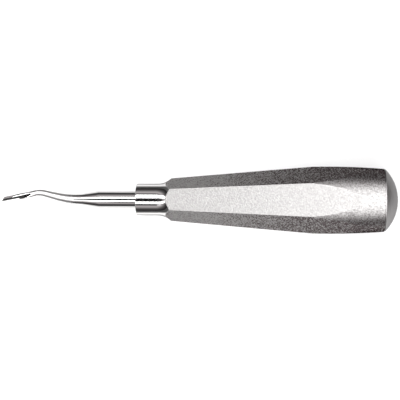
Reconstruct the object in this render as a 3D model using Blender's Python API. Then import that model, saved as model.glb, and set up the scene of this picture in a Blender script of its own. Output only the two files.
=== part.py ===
"""Dental elevator with a bent gouge tip, a forged shank and a hollow hexagonal handle.

Units are metres. The instrument is modelled along +X in its own frame, with the blade
tip at zero, and an empty then lays it down on one handle flat, so that +Z is up.
"""

import math

import bmesh
import bpy
from mathutils import Matrix, Vector

MM = 0.001

# Handle, measured back from the front rim of its collar
HANDLE_LENGTH = 91.7 * MM
COLLAR_RADIUS = 5.92 * MM
COLLAR_LENGTH = 7.95 * MM
COLLAR_EDGE_BREAK = 0.25 * MM
FLARE_RADIUS = 7.0 * MM
BARREL_MAX_RADIUS = 12.4 * MM
BARREL_MAX_STATION = 70.9 * MM
BARREL_CURVE_RADIUS = 275.0 * MM
HANDLE_REAR_EDGE_BREAK = 0.25 * MM

# Six milled flats, which open out towards the rear
FLAT_COUNT = 6
FLAT_TAPER = math.radians(4.175)
FLAT_APOTHEM = 10.44 * MM
FLAT_APOTHEM_STATION = 61.1 * MM

# Hollow of the handle
CAP_BORE_RADIUS = 10.4 * MM
CAP_BORE_DEPTH = 8.0 * MM
HOLLOW_FRONT_RADIUS = 5.6 * MM
HOLLOW_FRONT_STATION = 15.0 * MM

# End cap
CAP_RADIUS = 11.4 * MM
CAP_DOME_HEIGHT = 4.6 * MM
CAP_RIM_HEIGHT = 0.15 * MM
CAP_SPIGOT_LENGTH = 6.0 * MM
CAP_SPIGOT_WALL = 1.5 * MM

# Shank, neck and blade, one forged rod
SHANK_RADIUS = 3.175 * MM
TANG_LENGTH = 14.0 * MM
SHANK_LENGTH = 14.4 * MM
SHOULDER_LENGTH = 6.2 * MM
NECK_HEEL_RADIUS = 2.09 * MM
NECK_WAIST_RADIUS = 1.16 * MM
NECK_FLARE_POWER = 1.4
HEEL_BEND_START = 21.1 * MM
HEEL_BEND_RADIUS = 38.0 * MM
HEEL_BEND_ANGLE = math.radians(13.8)
NECK_STRAIGHT = 4.7 * MM
APEX_BEND_RADIUS = 8.0 * MM
APEX_BEND_ANGLE = math.radians(28.3)
BLADE_REACH = 12.4 * MM
BLADE_SWEEP_RADIUS = 156.0 * MM
BLADE_LENGTH = 7.8 * MM
BLADE_HALF_WIDTH = 1.4 * MM
BLADE_HALF_THICKNESS = 1.2 * MM
BLADE_ROLL = math.radians(2.0)
NECK_FLATTENING_LENGTH = 4.8 * MM

# Flat sides ground on the blade; the overhang is how far its oval section would stand past them
SIDE_GRIND_OVERHANG = 0.6
SIDE_GRIND_LENGTH = 8.5 * MM
SIDE_GRIND_RUN_OUT = 4.0 * MM

# Bevels from the ground sides to the back, with a steeper one at the tip
BEVEL_START = math.radians(15.0)
BACK_BEVEL_ANGLE = math.radians(14.0)
BACK_BEVEL_LENGTH = 6.5 * MM
BACK_BEVEL_RUN_OUT = 6.0 * MM
TIP_BEVEL_ANGLE = math.radians(11.0)
TIP_BEVEL_LENGTH = 4.0 * MM
TIP_BEVEL_RUN_OUT = 1.2 * MM

# Scoop ground into the blade, and the ground tip
SCOOP_RADIUS = 1.55 * MM
SCOOP_WEB = 0.7 * MM
TIP_CORNER_SETBACK = 0.35 * MM
TIP_GRIND_ANGLE = math.radians(42.0)

# Gap left wherever two pieces meet
FIT_CLEARANCE = 0.3 * MM

# How far a cutter stands out of the metal
CUTTER_OVERRUN = 2.0 * MM

# Fineness of the meshes
TURNED_STEPS = 72
ROD_SIDES = 48
ARC_ERROR = 0.004 * MM
RING_SPACING = 1.0 * MM
RING_TURN = math.radians(3.0)
SHARP_EDGE_ANGLE = math.radians(30.0)
MERGE_DISTANCE = 1e-4 * MM


def clear_scene():
    """Remove whatever the open file holds."""
    for obj in list(bpy.data.objects):
        bpy.data.objects.remove(obj, do_unlink=True)


def steel(name, colour, roughness):
    """A metal with the colour and polish of one sub-part."""
    material = bpy.data.materials.new(name)
    material.use_nodes = True
    shader = material.node_tree.nodes["Principled BSDF"]
    shader.inputs["Base Color"].default_value = (*colour, 1.0)
    shader.inputs["Metallic"].default_value = 1.0
    shader.inputs["Roughness"].default_value = roughness
    return material


def add_object(name, bm, parent, material=None):
    """Turn a bmesh into a smooth-shaded object; one without a material is a cutter."""
    bmesh.ops.recalc_face_normals(bm, faces=bm.faces)
    mesh = bpy.data.meshes.new(name)
    bm.to_mesh(mesh)
    bm.free()
    mesh.shade_smooth()
    mesh.set_sharp_from_angle(angle=SHARP_EDGE_ANGLE)
    obj = bpy.data.objects.new(name, mesh)
    bpy.context.collection.objects.link(obj)
    obj.parent = parent
    if material:
        mesh.materials.append(material)
    else:
        obj.hide_render = True
        obj.display_type = "WIRE"
    return obj


def boolean(obj, cutter, operation):
    modifier = obj.modifiers.new(cutter.name, "BOOLEAN")
    modifier.operation = operation
    modifier.object = cutter
    modifier.solver = "EXACT"


def turned(profile):
    """Spin a closed (station, radius) outline about the X axis."""
    bm = bmesh.new()
    points = [bm.verts.new((x, 0.0, radius)) for x, radius in profile]
    edges = [bm.edges.new(pair) for pair in zip(points, points[1:])]
    if profile[0][1] > 0:
        edges.append(bm.edges.new((points[-1], points[0])))
    bmesh.ops.spin(
        bm,
        geom=points + edges,
        cent=(0, 0, 0),
        axis=(1, 0, 0),
        angle=math.tau,
        steps=TURNED_STEPS,
        use_merge=True,
    )
    bmesh.ops.remove_doubles(bm, verts=bm.verts, dist=MERGE_DISTANCE)
    return bm


def arc(centre, radius, start, end):
    """Points on a circle in the (station, radius) plane; angles from the station axis."""
    steps = math.ceil(abs(end - start) / (2 * math.acos(1 - ARC_ERROR / radius)))
    turns = [start + (end - start) * i / steps for i in range(steps + 1)]
    return [(centre[0] + radius * math.cos(t), centre[1] + radius * math.sin(t)) for t in turns]


def barrel_profile():
    """Blank of the handle: collar, hollow flare, straight cone and barrelled rear.

    The cone runs at the same angle as the ridges between the flats, and touches the
    barrel's long arc where that arc has the same slope.
    """
    ridge_angle = math.atan(math.tan(FLAT_TAPER) / math.cos(math.pi / FLAT_COUNT))
    barrel_centre = (BARREL_MAX_STATION, BARREL_MAX_RADIUS - BARREL_CURVE_RADIUS)
    rear_angle = math.acos((HANDLE_LENGTH - BARREL_MAX_STATION) / BARREL_CURVE_RADIUS)
    barrel = arc(barrel_centre, BARREL_CURVE_RADIUS, math.pi / 2 + ridge_angle, rear_angle)
    cone_end = barrel[0]

    flare_centre = (COLLAR_LENGTH, COLLAR_RADIUS + FLARE_RADIUS)
    along = Vector((math.cos(ridge_angle), math.sin(ridge_angle)))
    to_centre = Vector(flare_centre) - Vector(cone_end)
    nearest = to_centre.dot(along)
    off_line = (to_centre - along * nearest).length
    reach = math.sqrt(FLARE_RADIUS**2 - off_line**2)
    meet = Vector(cone_end) + along * (nearest + reach)
    flare_end = math.atan2(meet.y - flare_centre[1], meet.x - flare_centre[0])
    flare = arc(flare_centre, FLARE_RADIUS, -math.pi / 2, flare_end)

    front = arc(
        (COLLAR_EDGE_BREAK, COLLAR_RADIUS - COLLAR_EDGE_BREAK),
        COLLAR_EDGE_BREAK,
        math.pi,
        math.pi / 2,
    )
    rear_radius = barrel[-1][1]
    rear = [
        (HANDLE_LENGTH - HANDLE_REAR_EDGE_BREAK, rear_radius),
        (HANDLE_LENGTH, rear_radius - HANDLE_REAR_EDGE_BREAK),
    ]
    return front + flare + barrel[:-1] + rear


def tang_bore_radius():
    return SHANK_RADIUS + FIT_CLEARANCE


def make_handle(frame, front):
    """Turned shell with a polished collar, six milled flats and a tapered hollow."""
    blank = [(front + x, r) for x, r in barrel_profile()]
    hollow = [
        (front + HANDLE_LENGTH, CAP_BORE_RADIUS),
        (front + HANDLE_LENGTH - CAP_BORE_DEPTH, CAP_BORE_RADIUS),
        (front + HOLLOW_FRONT_STATION, HOLLOW_FRONT_RADIUS),
        (front + HOLLOW_FRONT_STATION, tang_bore_radius()),
        (front, tang_bore_radius()),
    ]
    handle = add_object(
        "handle",
        turned(blank + hollow),
        frame,
        steel("handle_steel", (0.36, 0.35, 0.345), 0.44),
    )
    boolean(handle, make_flats_cutter(frame, front), "INTERSECT")
    return handle


def apothem_at(station):
    """Distance from the axis to a flat, at a station behind the collar's front rim."""
    return FLAT_APOTHEM + math.tan(FLAT_TAPER) * (station - FLAT_APOTHEM_STATION)


def make_flats_cutter(frame, front):
    """Tapered prism with one side down, whose sides are the handle's flats."""
    bm = bmesh.new()
    for station in (-CUTTER_OVERRUN, HANDLE_LENGTH + CUTTER_OVERRUN):
        corner_radius = apothem_at(station) / math.cos(math.pi / FLAT_COUNT)
        place = Matrix.Translation((front + station, 0, 0)) @ Matrix.Rotation(math.pi / 2, 4, "Y")
        bmesh.ops.create_circle(
            bm, cap_ends=True, segments=FLAT_COUNT, radius=corner_radius, matrix=place
        )
    rims = [e for e in bm.edges if e.is_boundary]
    bmesh.ops.bridge_loops(bm, edges=rims)
    return add_object("flats_cutter", bm, frame)


def make_cap(frame, seat):
    """Domed cap whose tubular spigot plugs the rear bore of the handle."""
    dome_radius = (CAP_RADIUS**2 + CAP_DOME_HEIGHT**2) / (2 * CAP_DOME_HEIGHT)
    under = seat + FIT_CLEARANCE
    dome_base = under + CAP_RIM_HEIGHT
    half_angle = math.asin(CAP_RADIUS / dome_radius)
    dome = arc((dome_base + CAP_DOME_HEIGHT - dome_radius, 0), dome_radius, half_angle, 0)
    spigot_radius = CAP_BORE_RADIUS - FIT_CLEARANCE
    spigot_end = seat - CAP_SPIGOT_LENGTH
    profile = [
        (under, 0),
        (under, spigot_radius - CAP_SPIGOT_WALL),
        (spigot_end, spigot_radius - CAP_SPIGOT_WALL),
        (spigot_end, spigot_radius),
        (under, spigot_radius),
        (under, CAP_RADIUS),
    ]
    return add_object(
        "end_cap", turned(profile + dome), frame, steel("cap_steel", (0.32, 0.315, 0.31), 0.32)
    )


def blade_sweep():
    """Angle that the blade's long curve turns through, from the neck to the tip."""
    return BLADE_REACH / BLADE_SWEEP_RADIUS


def rod_path():
    """Centreline of the forged rod from the tang's end to the tip.

    Returns (x, y, heading, travelled) with x counted back from the collar's front rim,
    so the collar's front is at x = 0 and the tip lies at negative x.
    """
    legs = [
        (TANG_LENGTH, 0.0),
        (HEEL_BEND_START, 0.0),
        (HEEL_BEND_RADIUS * HEEL_BEND_ANGLE, HEEL_BEND_ANGLE),
        (NECK_STRAIGHT, 0.0),
        (APEX_BEND_RADIUS * APEX_BEND_ANGLE, -APEX_BEND_ANGLE),
        (BLADE_REACH, blade_sweep()),
    ]
    x, y, heading, travelled = TANG_LENGTH, 0.0, 0.0, -TANG_LENGTH
    path = [(x, y, heading, travelled)]
    for length, turn in legs:
        steps = math.ceil(max(length / RING_SPACING, abs(turn) / RING_TURN))
        for _ in range(steps):
            middle = heading + turn / steps / 2
            x -= math.cos(middle) * length / steps
            y += math.sin(middle) * length / steps
            heading += turn / steps
            travelled += length / steps
            path.append((x, y, heading, travelled))
    return path


def rod_sizes(travelled, total):
    """Half width and half thickness of the rod at a distance from the collar."""
    shoulder_end = SHANK_LENGTH + SHOULDER_LENGTH
    root = total - BLADE_LENGTH
    waist = root - NECK_FLATTENING_LENGTH
    if travelled <= SHANK_LENGTH:
        return SHANK_RADIUS, SHANK_RADIUS
    if travelled <= shoulder_end:
        share = (travelled - SHANK_LENGTH) / SHOULDER_LENGTH
        radius = SHANK_RADIUS + (NECK_HEEL_RADIUS - SHANK_RADIUS) * share
        return radius, radius
    if travelled <= waist:
        share = (waist - travelled) / (waist - shoulder_end)
        radius = NECK_WAIST_RADIUS + (NECK_HEEL_RADIUS - NECK_WAIST_RADIUS) * share**NECK_FLARE_POWER
        return radius, radius
    share = min(1.0, (travelled - waist) / NECK_FLATTENING_LENGTH)
    ease = share * share * (3 - 2 * share)
    width = NECK_WAIST_RADIUS + (BLADE_HALF_WIDTH - NECK_WAIST_RADIUS) * ease
    thickness = NECK_WAIST_RADIUS + (BLADE_HALF_THICKNESS - NECK_WAIST_RADIUS) * ease
    return width, thickness


def ground_share(from_tip, length, run_out):
    """1 over a ground length from the tip, falling to 0 over the run-out behind it."""
    return min(1.0, max(0.0, (length + run_out - from_tip) / run_out))


def side_overhang(from_tip):
    """How far the oval section would stand past its ground sides, as a share of its half width."""
    return SIDE_GRIND_OVERHANG * ground_share(from_tip, SIDE_GRIND_LENGTH, SIDE_GRIND_RUN_OUT)


def side_bevel(from_tip):
    """Slope of the bevel between a ground side and the back."""
    back = math.tan(BACK_BEVEL_ANGLE) * ground_share(from_tip, BACK_BEVEL_LENGTH, BACK_BEVEL_RUN_OUT)
    tip = math.tan(TIP_BEVEL_ANGLE) * ground_share(from_tip, TIP_BEVEL_LENGTH, TIP_BEVEL_RUN_OUT)
    return back + tip


def section_frame(x, y, heading):
    """Place a flat ring so that its X is the blade's width and its Z runs along the rod."""
    across = Matrix(((0, 0, 1, 0), (0, 1, 0, 0), (1, 0, 0, 0), (0, 0, 0, 1)))
    return (
        Matrix.Translation((x, y, 0))
        @ Matrix.Rotation(-heading, 4, "Z")
        @ Matrix.Rotation(BLADE_ROLL, 4, "X")
        @ across
    )


def make_working_end(frame, front):
    """Shank, bent neck and gouge blade, with a tang inside the collar."""
    path = rod_path()
    total = path[-1][3]
    bm = bmesh.new()
    previous = None
    for index, (x, y, heading, travelled) in enumerate(path):
        width, thickness = rod_sizes(travelled, total)
        oval_width = width * (1 + side_overhang(total - travelled))
        bevel = side_bevel(total - travelled)
        bevel_start = thickness * math.sin(BEVEL_START)
        ends = index in (0, len(path) - 1)
        made = bmesh.ops.create_circle(bm, cap_ends=ends, segments=ROD_SIDES, radius=1)
        for vert in made["verts"]:
            vert.co.y *= thickness
            side = width - bevel * max(0.0, vert.co.y - bevel_start)
            vert.co.x = max(-side, min(side, oval_width * vert.co.x))
        place = section_frame(front + x, y, heading)
        bmesh.ops.transform(bm, matrix=place, verts=made["verts"])
        ring = {e for v in made["verts"] for e in v.link_edges}
        ring = [e for e in ring if e.is_boundary or not e.link_faces]
        if previous:
            bmesh.ops.bridge_loops(bm, edges=previous + ring)
        previous = ring
    working_end = add_object(
        "working_end", bm, frame, steel("shank_steel", (0.78, 0.775, 0.77), 0.08)
    )
    boolean(working_end, make_scoop_cutter(frame, front, path), "DIFFERENCE")
    boolean(working_end, make_tip_cutter(frame, front, path), "DIFFERENCE")
    return working_end


def blade_frame(front, path):
    """Frame at the tip: X along the blade towards the neck, Y out of the convex back."""
    x, y, heading, _ = path[-1]
    blade_heading = heading - blade_sweep() / 4
    return (
        Matrix.Translation((front + x, y, 0))
        @ Matrix.Rotation(-blade_heading, 4, "Z")
        @ Matrix.Rotation(BLADE_ROLL, 4, "X")
    )


def make_scoop_cutter(frame, front, path):
    """Round-ended grinding path that hollows the blade's inner face."""
    ball = arc((BLADE_LENGTH - SCOOP_RADIUS, 0), SCOOP_RADIUS, math.pi / 2, 0)
    profile = [(-CUTTER_OVERRUN, 0), (-CUTTER_OVERRUN, SCOOP_RADIUS)] + ball
    bm = turned(profile)
    below_back = BLADE_HALF_THICKNESS - SCOOP_WEB - SCOOP_RADIUS
    place = blade_frame(front, path) @ Matrix.Translation((0, below_back, 0))
    bmesh.ops.transform(bm, matrix=place, verts=bm.verts)
    return add_object("scoop_cutter", bm, frame)


def make_tip_cutter(frame, front, path):
    """Block with a hollow side, which rounds the tip in plan and slants its end."""
    reach = BLADE_HALF_WIDTH + CUTTER_OVERRUN
    half_span = BLADE_HALF_WIDTH + FIT_CLEARANCE
    half_angle = 2 * math.atan(TIP_CORNER_SETBACK / half_span)
    radius = half_span / math.sin(half_angle)
    curve = arc((radius, 0), radius, math.pi - half_angle, math.pi + half_angle)
    corners = [(curve[-1][0], -reach), (-reach, -reach), (-reach, reach), (curve[0][0], reach)]
    bm = bmesh.new()
    outline = [bm.verts.new((x, -reach, z)) for x, z in curve + corners]
    face = bm.faces.new(outline)
    grown = bmesh.ops.extrude_face_region(bm, geom=[face])
    moved = [v for v in grown["geom"] if isinstance(v, bmesh.types.BMVert)]
    bmesh.ops.translate(bm, verts=moved, vec=(0, 2 * reach, 0))
    place = blade_frame(front, path) @ Matrix.Rotation(-TIP_GRIND_ANGLE, 4, "Z")
    bmesh.ops.transform(bm, matrix=place, verts=bm.verts)
    return add_object("tip_cutter", bm, frame)


def lay_down(frame, collar_front, overall_length):
    """Tip the instrument nose down until a flat lies on the ground, under its middle."""
    height_at_tip = apothem_at(-collar_front) * math.cos(FLAT_TAPER)
    frame.rotation_euler = (0, -FLAT_TAPER, 0)
    frame.location = (-overall_length / 2 * math.cos(FLAT_TAPER), 0, height_at_tip)


def main():
    clear_scene()
    frame = bpy.data.objects.new("elevator_axis", None)
    bpy.context.collection.objects.link(frame)
    collar_front = -rod_path()[-1][0]
    seat = collar_front + HANDLE_LENGTH
    make_working_end(frame, collar_front)
    make_handle(frame, collar_front)
    make_cap(frame, seat)
    overall_length = seat + FIT_CLEARANCE + CAP_RIM_HEIGHT + CAP_DOME_HEIGHT
    lay_down(frame, collar_front, overall_length)
    bpy.context.view_layer.update()


main()
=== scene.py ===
import math

import bmesh
import bpy
from mathutils import Matrix, Vector


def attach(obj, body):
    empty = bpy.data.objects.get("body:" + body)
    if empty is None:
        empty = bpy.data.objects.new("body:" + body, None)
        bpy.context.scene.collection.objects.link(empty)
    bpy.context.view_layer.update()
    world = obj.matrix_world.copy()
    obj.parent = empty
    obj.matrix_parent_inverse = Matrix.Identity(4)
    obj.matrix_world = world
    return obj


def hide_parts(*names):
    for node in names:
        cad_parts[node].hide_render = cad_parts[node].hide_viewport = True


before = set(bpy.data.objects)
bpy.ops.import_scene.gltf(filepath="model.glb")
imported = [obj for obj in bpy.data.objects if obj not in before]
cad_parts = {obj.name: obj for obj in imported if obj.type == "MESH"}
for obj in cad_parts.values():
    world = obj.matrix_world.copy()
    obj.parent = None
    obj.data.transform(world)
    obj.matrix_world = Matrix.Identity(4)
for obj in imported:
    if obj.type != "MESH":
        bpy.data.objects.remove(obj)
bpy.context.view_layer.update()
mm = 0.001

# Camera, looking straight down on the instrument from about half a metre, with the blade
# at the left of the picture. The picture is 400 pixels square, and picture_scale is the
# length that one pixel shows at the height of the handle's axis.
picture_px = 400
picture_scale = 0.369 * mm
camera_height = 562 * mm
axis_height = 12 * mm
film_width = 36
camera_data = bpy.data.cameras.new("camera")
camera_data.sensor_width = film_width
camera_data.lens = film_width * (camera_height - axis_height) / (picture_scale * picture_px)
camera = bpy.data.objects.new("camera", camera_data)
camera.location = (0.65 * mm, -0.11 * mm, camera_height)
camera.rotation_euler = (0, 0, math.radians(0.2))
bpy.context.scene.collection.objects.link(camera)
bpy.context.scene.camera = camera

# White lacquered table that the instrument lies on. It is bright enough to read as a plain
# white ground, and still takes the instrument's soft shadow.
table_half_side = 2.5
table_gap = 0.02 * mm
table_glow = 0.36
floor_bm = bmesh.new()
bmesh.ops.create_grid(floor_bm, x_segments=1, y_segments=1, size=table_half_side)
floor_mesh = bpy.data.meshes.new("table_top")
floor_bm.to_mesh(floor_mesh)
floor_bm.free()
floor = bpy.data.objects.new("table_top", floor_mesh)
bpy.context.scene.collection.objects.link(floor)
floor.location.z = -table_gap


def new_look(name):
    """Start a material; returns it with its nodes, its links and its shader."""
    look = bpy.data.materials.new(name)
    look.use_nodes = True
    tree = look.node_tree
    return look, tree.nodes, tree.links, tree.nodes["Principled BSDF"]


def node(kind, **settings):
    """Add a node to the material in hand, with its sockets and options set."""
    made = nodes.new(kind)
    for name, value in settings.items():
        if hasattr(made, name):
            setattr(made, name, value)
        else:
            made.inputs[name.replace("_", " ")].default_value = value
    return made


def maths(operation, *values, clamp=False):
    """One arithmetic node on values or sockets; returns its output."""
    made = nodes.new("ShaderNodeMath")
    made.operation = operation
    made.use_clamp = clamp
    for socket, value in zip(made.inputs, values):
        if isinstance(value, (int, float)):
            socket.default_value = value
        else:
            links.new(value, socket)
    return made.outputs[0]


def fade(value, start, end, at_start, at_end, **settings):
    """Carry a value from one range over to another and hold it at both ends."""
    made = node(
        "ShaderNodeMapRange", From_Min=start, From_Max=end, To_Min=at_start, To_Max=at_end,
        **settings,
    )
    links.new(value, made.inputs["Value"])
    return made.outputs["Result"]


floor_look, nodes, links, shader = new_look("table_white")
shader.inputs["Roughness"].default_value = 0.35
shader.inputs["Specular IOR Level"].default_value = 0.6
shader.inputs["Emission Color"].default_value = (1, 1, 1, 1)
seen = node("ShaderNodeLightPath")
seen_direct = maths("MAXIMUM", seen.outputs["Is Camera Ray"], seen.outputs["Is Glossy Ray"])
seen_through = maths("MAXIMUM", seen_direct, seen.outputs["Is Transmission Ray"])
place = node("ShaderNodeTexCoord")
split = node("ShaderNodeSeparateXYZ")
links.new(place.outputs["Object"], split.inputs[0])
table_x, table_y = split.outputs["X"], split.outputs["Y"]

# Beyond the edges of the picture the table darkens softly into the grey room.
dark_share = 0.1
whiteness = 1.0
for spot, edge, dark_edge in (
    (table_y, 78 * mm, 100 * mm), (table_y, -78 * mm, -120 * mm), (table_x, -84 * mm, -120 * mm),
):
    whiteness = maths("MULTIPLY", whiteness, fade(spot, edge, dark_edge, 1.0, dark_share))

# Its paint is lightest at the blade's end and darkest at the upper rear: painted shade, standing in
# for a shadow over the upper rear, which the handle's upper side reflects.
diagonal = maths("MULTIPLY_ADD", table_y, 2.0, table_x)
paint_with_painted_shade = fade(diagonal, -50 * mm, 120 * mm, 0.82, 0.34)
links.new(maths("MULTIPLY", whiteness, paint_with_painted_shade), shader.inputs["Base Color"])
glow = maths("MULTIPLY", seen_through, table_glow)
links.new(maths("MULTIPLY", glow, whiteness), shader.inputs["Emission Strength"])

# The lacquer can't be seen from above and turns to a dim gloss at low angles. Behind the middle of
# the table there is less of it, least at the lower rear, and all of it at the upper rear: painted
# shade, which dims the upper rear and lightens the lower rear as seen at low angles.
gloss = node("ShaderNodeBsdfGlossy", Color=(0.2, 0.2, 0.2, 1), Roughness=0.4)
angle = node("ShaderNodeLayerWeight", Blend=0.5)
low_angle = fade(
    angle.outputs["Facing"], 0.46, 0.76, 0.0, 1.0, interpolation_type="SMOOTHSTEP"
)
# Painted shade: how much dim gloss the table shows behind its middle.
coat_share_behind = fade(table_x, -15 * mm, 5 * mm, 1.0, 0.7)
rear_corner = maths("MULTIPLY", maths("MAXIMUM", table_x, 0.0), table_y)
coat = maths("MULTIPLY_ADD", rear_corner, 200.0, coat_share_behind, clamp=True)
lacquered = node("ShaderNodeMixShader")
links.new(maths("MULTIPLY", low_angle, coat), lacquered.inputs[0])
links.new(shader.outputs[0], lacquered.inputs[1])
links.new(gloss.outputs[0], lacquered.inputs[2])
links.new(lacquered.outputs[0], nodes["Material Output"].inputs["Surface"])
floor_mesh.materials.append(floor_look)

# Studio light: two rows of softboxes hang along the instrument, a little weaker over its
# neck. The gap between the rows is closed over the grip and nearly dark over the blade,
# and two more boxes stand out to the sides of the grip.
softbox_height = 0.6
softboxes = [
    # from x, to x, from y, to y, radiance
    (-0.185, 0.33, 0.112, 0.40, 4.2),      # upper row
    (-0.185, 0.33, -0.36, -0.178, 4.2),    # lower row
    (-0.25, -0.185, 0.112, 0.40, 2.8),     # upper row, over the neck
    (-0.25, -0.185, -0.36, -0.178, 2.8),   # lower row, over the neck
    (-6.00, -0.25, 0.112, 0.40, 3.3),      # upper row, on beyond the blade
    (-6.00, -0.25, -0.36, -0.178, 3.3),    # lower row, on beyond the blade
    (0.05, 0.42, 0.40, 0.85, 3.2),         # upper side of the grip
    (-0.08, 0.42, -0.85, -0.36, 3.2),      # lower side of the grip
    (-0.09, 0.33, -0.178, 0.112, 4.5),     # gap, over the grip
    (-0.55, -0.185, -0.62, -0.36, 0.5),    # lower side of the blade, weak
    (-0.40, -0.165, -0.178, 0.112, 0.05),  # gap, over the blade, nearly dark
]
for from_x, to_x, from_y, to_y, radiance in softboxes:
    lamp = bpy.data.lights.new("softbox", "AREA")
    lamp.shape = "RECTANGLE"
    lamp.size = to_x - from_x
    lamp.size_y = to_y - from_y
    lamp.energy = radiance * math.pi * lamp.size * lamp.size_y
    lamp_object = bpy.data.objects.new("softbox", lamp)
    lamp_object.location = ((from_x + to_x) / 2, (from_y + to_y) / 2, softbox_height)
    bpy.context.scene.collection.objects.link(lamp_object)

# The room is grey: dim near the horizon, lighter half way up the walls, dark overhead.
# The heights are sines of the angle above the horizon.
room_tones = [
    (0.0, 0.02), (0.15, 0.04), (0.3, 0.1), (0.42, 0.22), (0.5, 0.4),
    (0.57, 0.52), (0.66, 0.44), (0.72, 0.24), (0.76, 0.05), (1.0, 0.01),
]
room = bpy.data.worlds.new("studio_room")
room.use_nodes = True
bpy.context.scene.world = room
nodes, links = room.node_tree.nodes, room.node_tree.links
place = node("ShaderNodeTexCoord")
split = node("ShaderNodeSeparateXYZ")
links.new(place.outputs["Generated"], split.inputs[0])
walls = node("ShaderNodeValToRGB")
while len(walls.color_ramp.elements) < len(room_tones):
    walls.color_ramp.elements.new(0.5)
for stop, (height, tone) in zip(walls.color_ramp.elements, room_tones):
    stop.position = height
    stop.color = (tone, 0.94 * tone, 0.95 * tone, 1)
links.new(split.outputs["Z"], walls.inputs[0])
links.new(walls.outputs["Color"], nodes["Background"].inputs["Color"])
bpy.context.scene.view_settings.view_transform = "Standard"

# Handle: one stainless steel blank, turned with a collar and flare at the front and a long
# barrelled rear, then milled with six tapering flats and bead-blasted up to the collar.
# Stations are measured from the collar's front rim, and radii from the axis.
handle_length = 91.7 * mm
collar_front = 50.756 * mm
collar_radius = 5.92 * mm
collar_length = 7.95 * mm
flare_radius = 7.0 * mm
barrel_top = (70.9 * mm, 12.4 * mm)
barrel_curve = 275.0 * mm
edge_round = 0.25 * mm
flat_taper = math.radians(4.175)
flat_apothem = (61.1 * mm, 10.44 * mm)
flat_overrun = 2 * mm
ridge_round = 0.22 * mm
cap_bore_radius = 10.4 * mm
cap_bore_depth = 8 * mm
hollow_front = (15 * mm, 5.6 * mm)
tang_bore_radius = 3.475 * mm
cap_height = 5.05 * mm
overall_length = collar_front + handle_length + cap_height


def apothem_at(station):
    """Distance of a flat from the axis, at a station behind the collar's front rim."""
    return flat_apothem[1] + math.tan(flat_taper) * (station - flat_apothem[0])


def arc(centre, radius, start, end, steps):
    """Points of an arc in the (station, radius) plane."""
    turns = [start + (end - start) * i / steps for i in range(steps + 1)]
    return [(centre[0] + radius * math.cos(t), centre[1] + radius * math.sin(t)) for t in turns]


def turned(outline, steps=240):
    """Spin a (station, radius) outline about the X axis into a closed solid."""
    bm = bmesh.new()
    points = [bm.verts.new((x, 0, r)) for x, r in outline]
    edges = [bm.edges.new(pair) for pair in zip(points, points[1:])]
    if outline[0][1] > 0:
        edges.append(bm.edges.new((points[-1], points[0])))
    bmesh.ops.spin(
        bm, geom=points + edges, cent=(0, 0, 0), axis=(1, 0, 0),
        angle=math.tau, steps=steps, use_merge=True,
    )
    bmesh.ops.remove_doubles(bm, verts=bm.verts, dist=1e-7)
    bmesh.ops.recalc_face_normals(bm, faces=bm.faces)
    return bm


def plain_object(name, bm):
    """Make a bmesh into an object of the scene."""
    mesh = bpy.data.meshes.new(name)
    bm.to_mesh(mesh)
    bm.free()
    made = bpy.data.objects.new(name, mesh)
    bpy.context.scene.collection.objects.link(made)
    return made


def cut(piece, tool, operation):
    """Work one solid with another, keep the result as the piece's mesh and drop the tool."""
    step = piece.modifiers.new("cut", "BOOLEAN")
    step.object = tool
    step.operation = operation
    step.solver = "EXACT"
    worked = piece.evaluated_get(bpy.context.evaluated_depsgraph_get())
    result = bpy.data.meshes.new_from_object(worked)
    piece.modifiers.clear()
    piece.data = result
    bpy.data.objects.remove(tool)


# As it lies, the instrument is nose down by the taper of the flat that it rests on.
lie = Matrix.Translation((
    -overall_length / 2 * math.cos(flat_taper),
    0,
    apothem_at(-collar_front) * math.cos(flat_taper),
)) @ Matrix.Rotation(-flat_taper, 4, "Y")

ridge_angle = math.atan(math.tan(flat_taper) / math.cos(math.pi / 6))
barrel_centre = (barrel_top[0], barrel_top[1] - barrel_curve)
rear_angle = math.acos((handle_length - barrel_top[0]) / barrel_curve)
barrel = arc(barrel_centre, barrel_curve, math.pi / 2 + ridge_angle, rear_angle, 60)
# The flare is the arc that runs from the collar to a straight cone ahead of the barrel.
along = Vector((math.cos(ridge_angle), math.sin(ridge_angle)))
flare_centre = Vector((collar_length, collar_radius + flare_radius))
to_centre = flare_centre - Vector(barrel[0])
off_line = to_centre - along * to_centre.dot(along)
meet = flare_centre - off_line + along * math.sqrt(flare_radius**2 - off_line.length_squared)
flare_end = math.atan2(meet.y - flare_centre.y, meet.x - flare_centre.x)
outline = arc((edge_round, collar_radius - edge_round), edge_round, math.pi, math.pi / 2, 8)
outline += arc(flare_centre, flare_radius, -math.pi / 2, flare_end, 50)
outline += barrel
outline += arc(
    (handle_length - edge_round, barrel[-1][1] - edge_round), edge_round, math.pi / 2, 0, 6
)
outline += [
    (handle_length, cap_bore_radius),
    (handle_length - cap_bore_depth, cap_bore_radius),
    hollow_front,
    (hollow_front[0], tang_bore_radius),
    (0, tang_bore_radius),
]
handle = plain_object("handle_shell", turned(outline))
flats_bm = bmesh.new()
for station in (-flat_overrun, handle_length + flat_overrun):
    bmesh.ops.create_circle(
        flats_bm, cap_ends=True, segments=6, radius=apothem_at(station) / math.cos(math.pi / 6),
        matrix=Matrix.Translation((station, 0, 0)) @ Matrix.Rotation(math.pi / 2, 4, "Y"),
    )
bmesh.ops.bridge_loops(flats_bm, edges=[e for e in flats_bm.edges if e.is_boundary])
ridges = [e for e in flats_bm.edges if abs((e.verts[0].co - e.verts[1].co).x) > handle_length / 2]
bmesh.ops.bevel(
    flats_bm, geom=ridges, offset=ridge_round, segments=3, profile=0.5, affect="EDGES", material=-1
)
bmesh.ops.recalc_face_normals(flats_bm, faces=flats_bm.faces)
cut(handle, plain_object("flats", flats_bm), "INTERSECT")
handle.data.transform(lie @ Matrix.Translation((collar_front, 0, 0)))
handle.data.shade_smooth()
handle.data.set_sharp_from_angle(angle=math.radians(2.5))

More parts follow.
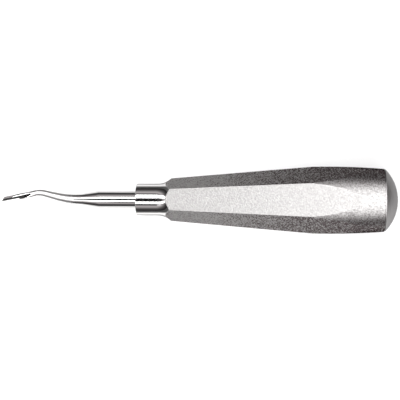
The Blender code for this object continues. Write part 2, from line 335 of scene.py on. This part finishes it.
# Finish of the handle: bead-blasted grey steel with a fine pitted grain, and a mirror
# polish on the turned collar and flare, up to the front edges of the flats.
mirror_tone = (0.78, 0.775, 0.77, 1)
dark_grain = (0.345, 0.338, 0.335, 1)
light_grain = (0.415, 0.407, 0.403, 1)
# Darkest tone, for the pits and for the painted shade on slanting sides.
pit_and_painted_shade_tone = (0.28, 0.24, 0.245, 1)
mirror_roughness = 0.06
grain_depth = 0.22 * mm
flats_blasted_from = 8.5
all_blasted_from = 12.6
blasted, nodes, links, shader = new_look("blasted_and_polished_steel")
shader.inputs["Metallic"].default_value = 1.0
shader.inputs["Specular Tint"].default_value = (0.1, 0.1, 0.1, 1)


def mixed(factor, first, second, blend_type="MIX"):
    """Blend two colours by a factor; returns the colour's output."""
    made = node("ShaderNodeMix", data_type="RGBA", blend_type=blend_type)
    links.new(factor, made.inputs["Factor"])
    for socket, colour in ((made.inputs[6], first), (made.inputs[7], second)):
        if isinstance(colour, tuple):
            socket.default_value = colour
        else:
            links.new(colour, socket)
    return made.outputs[2]


# Station from the collar's rim, side and height above the axis, all in millimetres.
place = node("ShaderNodeTexCoord")
straight = node("ShaderNodeMapping", Rotation=(0, flat_taper, 0))
links.new(place.outputs["Object"], straight.inputs["Vector"])
axes = node("ShaderNodeSeparateXYZ")
links.new(straight.outputs["Vector"], axes.inputs[0])
tip_in_line = Matrix.Rotation(flat_taper, 4, "Y") @ lie.translation
behind_rim = maths("SUBTRACT", axes.outputs["X"], tip_in_line.x + collar_front)
station = maths("MULTIPLY", behind_rim, 1000)
side = maths("MULTIPLY", axes.outputs["Y"], 1000)
height = maths("MULTIPLY", maths("SUBTRACT", axes.outputs["Z"], tip_in_line.z), 1000)

# Distance from the axis towards the nearest flat, and how far that is below the flat.
first = maths("ABSOLUTE", height)
half_height = maths("MULTIPLY", height, 0.5)
sloped_side = maths("MULTIPLY", side, math.sin(math.pi / 3))
second = maths("ABSOLUTE", maths("ADD", half_height, sloped_side))
third = maths("ABSOLUTE", maths("SUBTRACT", half_height, sloped_side))
hex_distance = maths("MAXIMUM", first, maths("MAXIMUM", second, third))
flat_here = maths(
    "ADD", maths("MULTIPLY", station, math.tan(flat_taper)),
    (flat_apothem[1] - math.tan(flat_taper) * flat_apothem[0]) / mm,
)
below_flat = maths("SUBTRACT", flat_here, hex_distance)
off_flat = maths("MULTIPLY", maths("SUBTRACT", below_flat, 0.05), 6.0, clamp=True)
on_flat = maths("SUBTRACT", 1.0, off_flat)
behind = maths("MULTIPLY", maths("SUBTRACT", station, all_blasted_from), 2.0, clamp=True)
in_front = maths("MULTIPLY", maths("SUBTRACT", station, flats_blasted_from), 4.0, clamp=True)
is_blasted = maths("MAXIMUM", maths("MULTIPLY", on_flat, in_front), behind)

grain = node("ShaderNodeTexNoise", Scale=1500.0, Detail=2.0, Roughness=0.5)
links.new(place.outputs["Object"], grain.inputs["Vector"])
pits = node("ShaderNodeTexNoise", Scale=1900.0, Detail=1.0, Roughness=0.5)
links.new(place.outputs["Object"], pits.inputs["Vector"])
bump = node("ShaderNodeBump", Distance=grain_depth)
links.new(grain.outputs["Fac"], bump.inputs["Height"])
relief = maths("MULTIPLY_ADD", station, -0.0045, 0.55)
links.new(maths("MULTIPLY", is_blasted, relief), bump.inputs["Strength"])
links.new(bump.outputs["Normal"], shader.inputs["Normal"])

# The colour darkens the more the surface slants, and more towards the rear: painted shade on the
# sides and the rear, laid through the pits so that it carries their grain.
grains = maths("MULTIPLY_ADD", grain.outputs["Fac"], 3.0, -1.0, clamp=True)
speckle = mixed(grains, dark_grain, light_grain)
rear_shade_depth = maths("MAXIMUM", 0.0, maths("MULTIPLY_ADD", station, 0.034, -0.8))
deep_pits_and_rear_shade = maths("MULTIPLY", rear_shade_depth, maths("MULTIPLY_ADD", pits.outputs["Fac"], 4.4, -1.2))
shallow_pits_and_slant_shade = maths("MULTIPLY_ADD", pits.outputs["Fac"], 5.0, -2.45)
slant = node("ShaderNodeLayerWeight", Blend=0.5)
shade = maths("MULTIPLY", slant.outputs["Facing"], maths("ADD", deep_pits_and_rear_shade, shallow_pits_and_slant_shade))
shaded = mixed(shade, speckle, pit_and_painted_shade_tone, blend_type="MULTIPLY")
links.new(mixed(is_blasted, mirror_tone, shaded), shader.inputs["Base Color"])
roughened = maths("MULTIPLY_ADD", pits.outputs["Fac"], 0.6, 0.1)
roughness = maths("MULTIPLY_ADD", is_blasted, roughened, mirror_roughness, clamp=True)
links.new(roughness, shader.inputs["Roughness"])
handle.data.materials.clear()
handle.data.materials.append(blasted)
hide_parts("handle")
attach(handle, "root")

# Working end: one forged steel rod, bent twice, drawn down to a slim neck and ground to a
# gouge at the tip. It is mirror polished, on the neck a little softer, and its tang is
# fixed in the collar.
tang_length = 14.0 * mm
shank_radius = 3.175 * mm
shoulder_start, shoulder_end = 14.4 * mm, 20.6 * mm
heel_radius = 2.09 * mm
waist_radius = 1.16 * mm
waist_to_blade = 4.8 * mm
neck_curve = 1.4
blade_half_width = 1.4 * mm
blade_half_thickness = 1.2 * mm
blade_length = 7.8 * mm
blade_roll = math.radians(2.0)
blade_reach = 12.4 * mm
blade_bow = 156.0 * mm
neck_bend_radius = 38.0 * mm
heel_bend_radius = 8.0 * mm
bend = math.radians(13.8)
turn_back = math.radians(28.3)
sweep = blade_reach / blade_bow
legs = [
    # length, turn, rings along it
    (tang_length, 0.0, 1),
    (21.1 * mm, 0.0, 42),
    (neck_bend_radius * bend, bend, 30),
    (4.7 * mm, 0.0, 12),
    (heel_bend_radius * turn_back, -turn_back, 24),
    (blade_reach, sweep, 48),
]
rings = []
x, y, heading, travelled = tang_length, 0.0, 0.0, -tang_length
rings.append((x, y, heading, travelled))
for length, turn, steps in legs:
    for _ in range(steps):
        middle = heading + turn / steps / 2
        x -= math.cos(middle) * length / steps
        y += math.sin(middle) * length / steps
        heading += turn / steps
        travelled += length / steps
        rings.append((x, y, heading, travelled))
total = rings[-1][3]
root = total - blade_length
waist = root - waist_to_blade

# The blade is ground flat on both sides, and bevelled twice along its back with the corner
# taken off. Each grind has its length from the tip and the run-out behind that.
sides_ground = (8.0 * mm, 3.5 * mm)
back_ground = (10.5 * mm, 3.0 * mm)
tip_ground = (4.0 * mm, 1.2 * mm)
corner_ground = (8.5 * mm, 4.0 * mm)
side_spread = 0.6
back_slope = math.tan(math.radians(14))
tip_slope = math.tan(math.radians(11))
corner_slope = 0.65
bevel_from = math.sin(math.radians(20))
corner_from = math.sin(math.radians(35))
across = Matrix(((0, 0, 1, 0), (0, 1, 0, 0), (1, 0, 0, 0), (0, 0, 0, 1)))


def run_out(from_tip, length, fade_length):
    """1 over a ground length from the tip, falling to 0 over the run-out behind it."""
    return min(1.0, max(0.0, (length + fade_length - from_tip) / fade_length))


rod_bm = bmesh.new()
previous = None
for index, (x, y, heading, travelled) in enumerate(rings):
    width = thickness = shank_radius
    from_tip = total - travelled
    overhang = side_spread * run_out(from_tip, *sides_ground)
    bevel = back_slope * run_out(from_tip, *back_ground)
    bevel += tip_slope * run_out(from_tip, *tip_ground)
    corner = corner_slope * run_out(from_tip, *corner_ground) * (1 - run_out(from_tip, *tip_ground))
    if travelled > waist:
        share = min(1.0, (travelled - waist) / (root - waist))
        ease = share * share * (3 - 2 * share)
        width = waist_radius + (blade_half_width - waist_radius) * ease
        thickness = waist_radius + (blade_half_thickness - waist_radius) * ease
    elif travelled > shoulder_end:
        share = (waist - travelled) / (waist - shoulder_end)
        width = thickness = waist_radius + (heel_radius - waist_radius) * share**neck_curve
    elif travelled > shoulder_start:
        share = (travelled - shoulder_start) / (shoulder_end - shoulder_start)
        width = thickness = shank_radius + (heel_radius - shank_radius) * share
    made = bmesh.ops.create_circle(
        rod_bm, cap_ends=index in (0, len(rings) - 1), segments=72, radius=1
    )
    for vert in made["verts"]:
        vert.co.y *= thickness
        limit = width - bevel * max(0.0, vert.co.y - bevel_from * thickness)
        limit -= corner * max(0.0, vert.co.y - corner_from * thickness)
        vert.co.x = max(-limit, min(limit, width * (1 + overhang) * vert.co.x))
    section = (
        Matrix.Translation((x, y, 0)) @ Matrix.Rotation(-heading, 4, "Z")
        @ Matrix.Rotation(blade_roll, 4, "X") @ across
    )
    bmesh.ops.transform(rod_bm, matrix=section, verts=made["verts"])
    ring = list({
        e for v in made["verts"] for e in v.link_edges if e.is_boundary or not e.link_faces
    })
    if previous:
        bmesh.ops.bridge_loops(rod_bm, edges=previous + ring)
    previous = ring
bmesh.ops.recalc_face_normals(rod_bm, faces=rod_bm.faces)
working_end = plain_object("shank_and_blade", rod_bm)

# The gouge is hollowed with a ball-ended tool that leaves a thin back.
scoop_radius = 1.55 * mm
scoop_web = 0.7 * mm
clearance = 2 * mm
tip_x, tip_y, tip_heading, _ = rings[-1]
blade_line = (
    Matrix.Translation((tip_x, tip_y, 0)) @ Matrix.Rotation(-(tip_heading - sweep / 4), 4, "Z")
    @ Matrix.Rotation(blade_roll, 4, "X")
)
scoop = turned(
    [(-clearance, 0), (-clearance, scoop_radius)]
    + arc((blade_length - scoop_radius, 0), scoop_radius, math.pi / 2, 0, 24), steps=120,
)
below_back = Matrix.Translation((0, blade_half_thickness - scoop_web - scoop_radius, 0))
bmesh.ops.transform(scoop, matrix=blade_line @ below_back, verts=scoop.verts)
cut(working_end, plain_object("scoop", scoop), "DIFFERENCE")

# The tip is ground to a slant, with a slightly rounded cutting edge.
tip_slant = math.radians(42)
edge_crown = 0.35 * mm
reach = blade_half_width + clearance
half_span = blade_half_width + 0.3 * mm
half_angle = 2 * math.atan(edge_crown / half_span)
plan_radius = half_span / math.sin(half_angle)
grind = bmesh.new()
curve = arc((plan_radius, 0), plan_radius, math.pi - half_angle, math.pi + half_angle, 40)
corners = [(curve[-1][0], -reach), (-reach, -reach), (-reach, reach), (curve[0][0], reach)]
face = grind.faces.new([grind.verts.new((a, -reach, b)) for a, b in curve + corners])
grown = bmesh.ops.extrude_face_region(grind, geom=[face])
moved = [v for v in grown["geom"] if isinstance(v, bmesh.types.BMVert)]
bmesh.ops.translate(grind, verts=moved, vec=(0, 2 * reach, 0))
bmesh.ops.recalc_face_normals(grind, faces=grind.faces)
slanted = blade_line @ Matrix.Rotation(-tip_slant, 4, "Z")
bmesh.ops.transform(grind, matrix=slanted, verts=grind.verts)
cut(working_end, plain_object("grind", grind), "DIFFERENCE")
working_end.data.transform(lie @ Matrix.Translation((collar_front, 0, 0)))
working_end.data.shade_smooth()
working_end.data.set_sharp_from_angle(angle=math.radians(20))

# Its polish is streaked a little, and the neck between blade and shank is only brushed.
neck_roughness = 0.22
polished, nodes, links, shader = new_look("polished_steel")
shader.inputs["Metallic"].default_value = 1.0
shader.inputs["Base Color"].default_value = mirror_tone
shader.inputs["Specular Tint"].default_value = (0.3, 0.3, 0.3, 1)
place = node("ShaderNodeTexCoord")
smear = node("ShaderNodeTexNoise", Scale=260.0, Detail=4.0, Roughness=0.6)
links.new(place.outputs["Object"], smear.inputs["Vector"])
along_rod = node("ShaderNodeSeparateXYZ")
links.new(place.outputs["Object"], along_rod.inputs[0])
behind_blade = maths("MULTIPLY_ADD", along_rod.outputs["X"], 400.0, 25.2, clamp=True)
before_shank = maths("MULTIPLY_ADD", along_rod.outputs["X"], -400.0, -18.0, clamp=True)
brushed = maths("MULTIPLY", behind_blade, before_shank)
polish = maths("MULTIPLY_ADD", smear.outputs["Fac"], 0.05, 0.045)
links.new(maths("MULTIPLY_ADD", brushed, neck_roughness, polish), shader.inputs["Roughness"])
working_end.data.materials.clear()
working_end.data.materials.append(polished)
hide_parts("working_end")
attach(working_end, "root")

# End cap: a turned steel dome with a fine satin finish, whose spigot plugs the rear of the
# handle and leaves a hairline seam all round.
cap_radius = 11.4 * mm
dome_height = 4.6 * mm
rim_height = 0.15 * mm
seam = 0.3 * mm
spigot_length = 6 * mm
spigot_wall = 1.5 * mm
dome_radius = (cap_radius**2 + dome_height**2) / (2 * dome_height)
under = handle_length + seam
spigot_radius = cap_bore_radius - seam
dome_top = under + rim_height + dome_height
cap_outline = [
    (under, 0),
    (under, spigot_radius - spigot_wall),
    (handle_length - spigot_length, spigot_radius - spigot_wall),
    (handle_length - spigot_length, spigot_radius),
    (under, spigot_radius),
    (under, cap_radius),
]
rim_angle = math.asin(cap_radius / dome_radius)
cap_outline += arc((dome_top - dome_radius, 0), dome_radius, rim_angle, 0, 50)
end_cap = plain_object("domed_cap", turned(cap_outline))
end_cap.data.transform(lie @ Matrix.Translation((collar_front, 0, 0)))
end_cap.data.shade_smooth()
end_cap.data.set_sharp_from_angle(angle=math.radians(10))

satin_tone = (0.64, 0.622, 0.62, 1)
# The dark edge tone is painted shade for the dome's slanting edge.
painted_edge_shade_tone = (0.07, 0.067, 0.067, 1)
satin, nodes, links, shader = new_look("satin_steel")
shader.inputs["Metallic"].default_value = 1.0
# Painted shade: the dome's colour darkens towards its slanting edge.
slant = node("ShaderNodeLayerWeight", Blend=0.5)
cap_tone = mixed(slant.outputs["Facing"], satin_tone, painted_edge_shade_tone)
links.new(cap_tone, shader.inputs["Base Color"])
place = node("ShaderNodeTexCoord")
lines = node("ShaderNodeTexNoise", Scale=1500.0, Detail=3.0, Roughness=0.6)
links.new(place.outputs["Object"], lines.inputs["Vector"])
roughness = maths("ADD", maths("MULTIPLY", lines.outputs["Fac"], 0.12), 0.36)
links.new(roughness, shader.inputs["Roughness"])
bump = node("ShaderNodeBump", Strength=0.3, Distance=0.03 * mm)
links.new(lines.outputs["Fac"], bump.inputs["Height"])
links.new(bump.outputs["Normal"], shader.inputs["Normal"])
end_cap.data.materials.clear()
end_cap.data.materials.append(satin)
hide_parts("end_cap")
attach(end_cap, "root")
